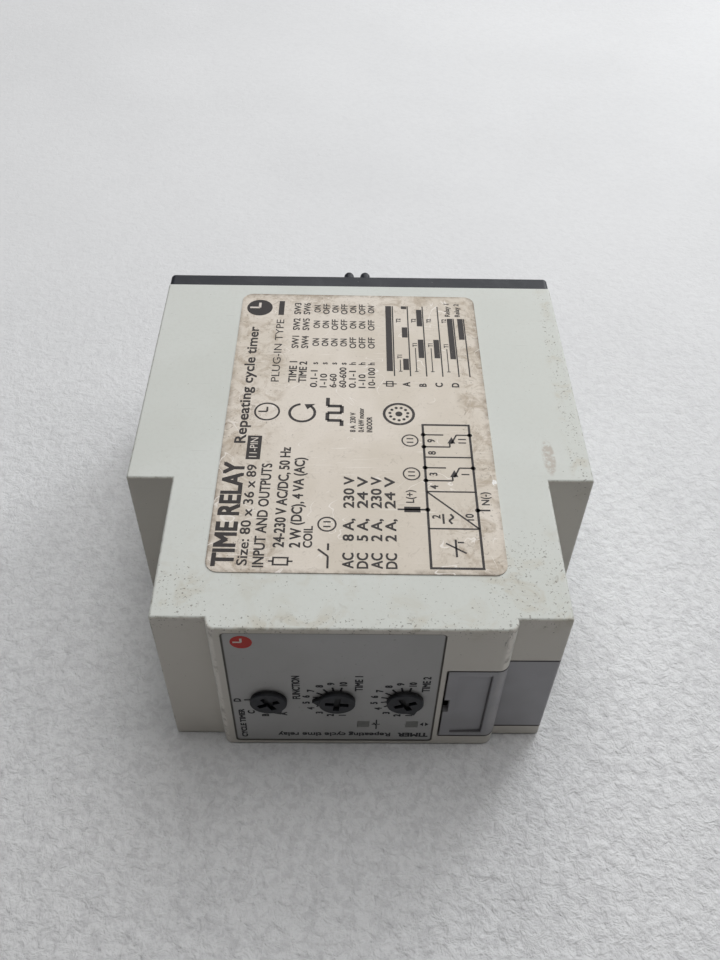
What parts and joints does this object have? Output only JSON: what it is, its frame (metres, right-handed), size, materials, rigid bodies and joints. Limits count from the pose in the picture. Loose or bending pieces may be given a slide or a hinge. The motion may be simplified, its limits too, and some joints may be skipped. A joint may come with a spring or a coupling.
{
  "type": "plug-in timer relay",
  "caption": "Slim plug-in timer module with three screwdriver dials, two indicator windows and a hinged flap over miniature switches, for a round-pin socket on a DIN rail.",
  "frame": {"origin": "on the plug's axis, in the rear face of the base plate", "axes": "+Y along the plug pins into the socket, so the dials face -Y; +X down the front as it hangs in a cabinet; +Z towards the flank with the rating label"},
  "size_m": [0.08, 0.1041, 0.0361],
  "materials": {
    "housing_grey": "satin moulded grey",
    "base_black": "satin moulded black",
    "pin_nickel": "nickel plated",
    "lead_tin": "tinned copper",
    "front_foil": "matt printed foil",
    "label_paper": "matt printed foil",
    "cover_grey": "satin moulded grey",
    "light_guide": "clear, lightly frosted",
    "led_amber": "tinted clear",
    "led_green": "tinted clear",
    "dip_red": "matt",
    "board_green": "solder resist",
    "ferrite": "matt",
    "coil_tape": "wound tape",
    "can_sleeve": "shrink sleeve",
    "film_box": "matt",
    "disc_blue": "dipped",
    "chip_black": "matt",
    "resistor_body": "matt",
    "chip_ceramic": "matt",
    "knob_black": "satin",
    "pot_case": "matt",
    "pot_rotor": "matt",
    "lever_white": "matt",
    "relay_cover": "satin",
    "relay_base": "matt",
    "bobbin_white": "matt",
    "copper": "enamelled wire",
    "soft_iron": "plated",
    "contact_brass": "bright"
  },
  "bodies": {
    "housing": {"housing": "housing_grey", "base_plate": "base_black", "plug_pins": "pin_nickel", "plug_leads": "lead_tin", "front_label": "front_foil", "side_label": "label_paper", "light_guides": "light_guide", "led_relay": "led_amber", "led_power": "led_green", "dip_switch_case": "dip_red", "main_board": "board_green", "front_board": "board_green", "board_link": "lead_tin", "transformer_core": "ferrite", "transformer_coil": "coil_tape", "electrolytic_capacitors": "can_sleeve", "film_capacitor": "film_box", "varistor": "disc_blue", "bridge_rectifier": "chip_black", "power_resistor": "resistor_body", "microcontroller": "chip_black", "chip_components": "chip_ceramic", "pot_case_function": "pot_case", "pot_case_time_1": "pot_case", "pot_case_time_2": "pot_case", "relay_1_cover": "relay_cover", "relay_1_base": "relay_base", "relay_1_bobbin": "bobbin_white", "relay_1_winding": "copper", "relay_1_core": "soft_iron", "relay_1_yoke": "soft_iron", "relay_1_fixed_contacts": "contact_brass", "relay_2_cover": "relay_cover", "relay_2_base": "relay_base", "relay_2_bobbin": "bobbin_white", "relay_2_winding": "copper", "relay_2_core": "soft_iron", "relay_2_yoke": "soft_iron", "relay_2_fixed_contacts": "contact_brass"},
    "knob_function": {"knob_function": "knob_black", "pot_rotor_function": "pot_rotor"},
    "knob_time_1": {"knob_time_1": "knob_black", "pot_rotor_time_1": "pot_rotor"},
    "knob_time_2": {"knob_time_2": "knob_black", "pot_rotor_time_2": "pot_rotor"},
    "dip_cover": {"dip_cover": "cover_grey"},
    "dip_lever_1": {"dip_lever_1": "lever_white"},
    "dip_lever_2": {"dip_lever_2": "lever_white"},
    "dip_lever_3": {"dip_lever_3": "lever_white"},
    "dip_lever_4": {"dip_lever_4": "lever_white"},
    "dip_lever_5": {"dip_lever_5": "lever_white"},
    "dip_lever_6": {"dip_lever_6": "lever_white"},
    "relay_1_armature": {"relay_1_armature": "soft_iron", "relay_1_contact_spring": "contact_brass"},
    "relay_2_armature": {"relay_2_armature": "soft_iron", "relay_2_contact_spring": "contact_brass"}
  },
  "joints": [
    {"name": "function_turn", "type": "hinge", "parent": "housing", "child": "knob_function", "pos_m": [-0.015, -0.0891, -0.0029], "axis": [0, 1, 0], "range_deg": [0, 115]},
    {"name": "time_1_turn", "type": "hinge", "parent": "housing", "child": "knob_time_1", "pos_m": [-0.00375, -0.0891, -0.0029], "axis": [0, 1, 0], "range_deg": [-119, 109]},
    {"name": "time_2_turn", "type": "hinge", "parent": "housing", "child": "knob_time_2", "pos_m": [0.0075, -0.0891, -0.0029], "axis": [0, 1, 0], "range_deg": [0, 228]},
    {"name": "cover_hinge", "type": "hinge", "parent": "housing", "child": "dip_cover", "pos_m": [0.0306, -0.0733, -0.00417], "axis": [0, 0, 1], "range_deg": [0, 95]},
    {"name": "dip_slide_1", "type": "slide", "parent": "housing", "child": "dip_lever_1", "axis": [-1, 0, 0], "range_m": [-0.002, 0]},
    {"name": "dip_slide_2", "type": "slide", "parent": "housing", "child": "dip_lever_2", "axis": [-1, 0, 0], "range_m": [-0.002, 0]},
    {"name": "dip_slide_3", "type": "slide", "parent": "housing", "child": "dip_lever_3", "axis": [-1, 0, 0], "range_m": [0, 0.002]},
    {"name": "dip_slide_4", "type": "slide", "parent": "housing", "child": "dip_lever_4", "axis": [-1, 0, 0], "range_m": [-0.002, 0]},
    {"name": "dip_slide_5", "type": "slide", "parent": "housing", "child": "dip_lever_5", "axis": [-1, 0, 0], "range_m": [0, 0.002]},
    {"name": "dip_slide_6", "type": "slide", "parent": "housing", "child": "dip_lever_6", "axis": [-1, 0, 0], "range_m": [-0.002, 0]},
    {"name": "relay_1_clap", "type": "hinge", "parent": "housing", "child": "relay_1_armature", "pos_m": [-0.014, -0.044, -0.001], "axis": [0, 1, 0], "range_deg": [0, 3.5], "stiffness_Nm_per_rad": 0.02, "springref_deg": -5.73},
    {"name": "relay_2_clap", "type": "hinge", "parent": "housing", "child": "relay_2_armature", "pos_m": [0.025, -0.044, -0.001], "axis": [0, 1, 0], "range_deg": [0, 3.5], "stiffness_Nm_per_rad": 0.02, "springref_deg": -5.73}
  ]
}
